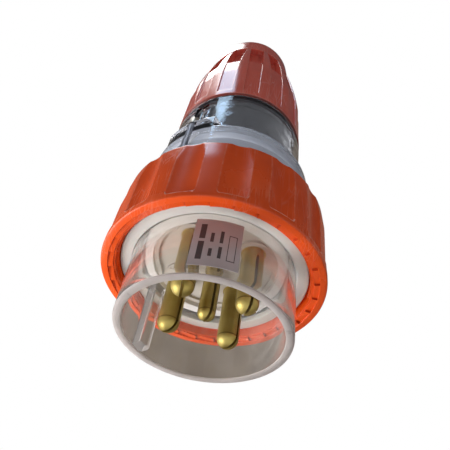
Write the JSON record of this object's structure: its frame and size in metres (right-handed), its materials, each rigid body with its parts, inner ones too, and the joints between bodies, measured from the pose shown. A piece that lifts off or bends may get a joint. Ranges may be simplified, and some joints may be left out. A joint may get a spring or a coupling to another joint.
{
  "type": "waterproof plug",
  "caption": "Waterproof industrial plug with split round pins in a clear keyed shroud, a fluted locking ring with a ratchet face, a clear rear body and a domed cable gland nut.",
  "frame": {"origin": "centre of the shroud's rim plane, on which the plug stands", "axes": "+Z along the plug's axis from the pin end up to the cable entry; the key rib and the earth pin lie in the -X +Y quarter and the label faces -Y"},
  "size_m": [0.0814, 0.0814, 0.184],
  "materials": {
    "clear_plastic": "clear polycarbonate, polished",
    "smoked_clear_plastic": "clear polycarbonate, faintly grey",
    "orange_plastic": "glossy moulded orange",
    "white_insulator": "moulded, off-white",
    "white_rubber": "silicone, matt",
    "black_rubber": "matt black",
    "brass": "turned, slightly dull",
    "screw_steel": "passivated steel",
    "nylon": "natural nylon",
    "silver_label": "satin silver film"
  },
  "bodies": {
    "housing": {"front_shroud": "clear_plastic", "rating_label": "silver_label", "flange_gasket": "white_rubber", "pin_carrier": "white_insulator", "pin_retainer": "white_insulator", "retainer_screws": "screw_steel", "pin_earth": "brass", "pin_phase_1": "brass", "pin_phase_2": "brass", "pin_phase_3": "brass", "pin_neutral": "brass", "terminal_screws": "screw_steel", "body_seal": "black_rubber", "rear_body": "smoked_clear_plastic", "body_screws": "screw_steel", "screw_seals": "black_rubber", "cable_grommet": "black_rubber"},
    "ring": {"locking_ring": "orange_plastic"},
    "washer": {"slip_washer": "nylon"},
    "nut": {"gland_nut": "orange_plastic"}
  },
  "joints": [
    {"name": "ring_turn", "type": "hinge", "parent": "housing", "child": "ring", "pos_m": [0, 0, 0.04], "axis": [0, 0, 1], "continuous": true},
    {"name": "washer_lift", "type": "slide", "parent": "housing", "child": "washer", "axis": [0, 0, 1], "range_m": [0, 0.0062]},
    {"name": "nut_turn", "type": "hinge", "parent": "washer", "child": "nut", "pos_m": [0, 0, 0.145], "axis": [0, 0, 1], "range_deg": [0, 720]}
  ],
  "couplings": [
    {"joint": "washer_lift", "follows": "nut_turn", "m_per_rad": 0.00047746}
  ]
}
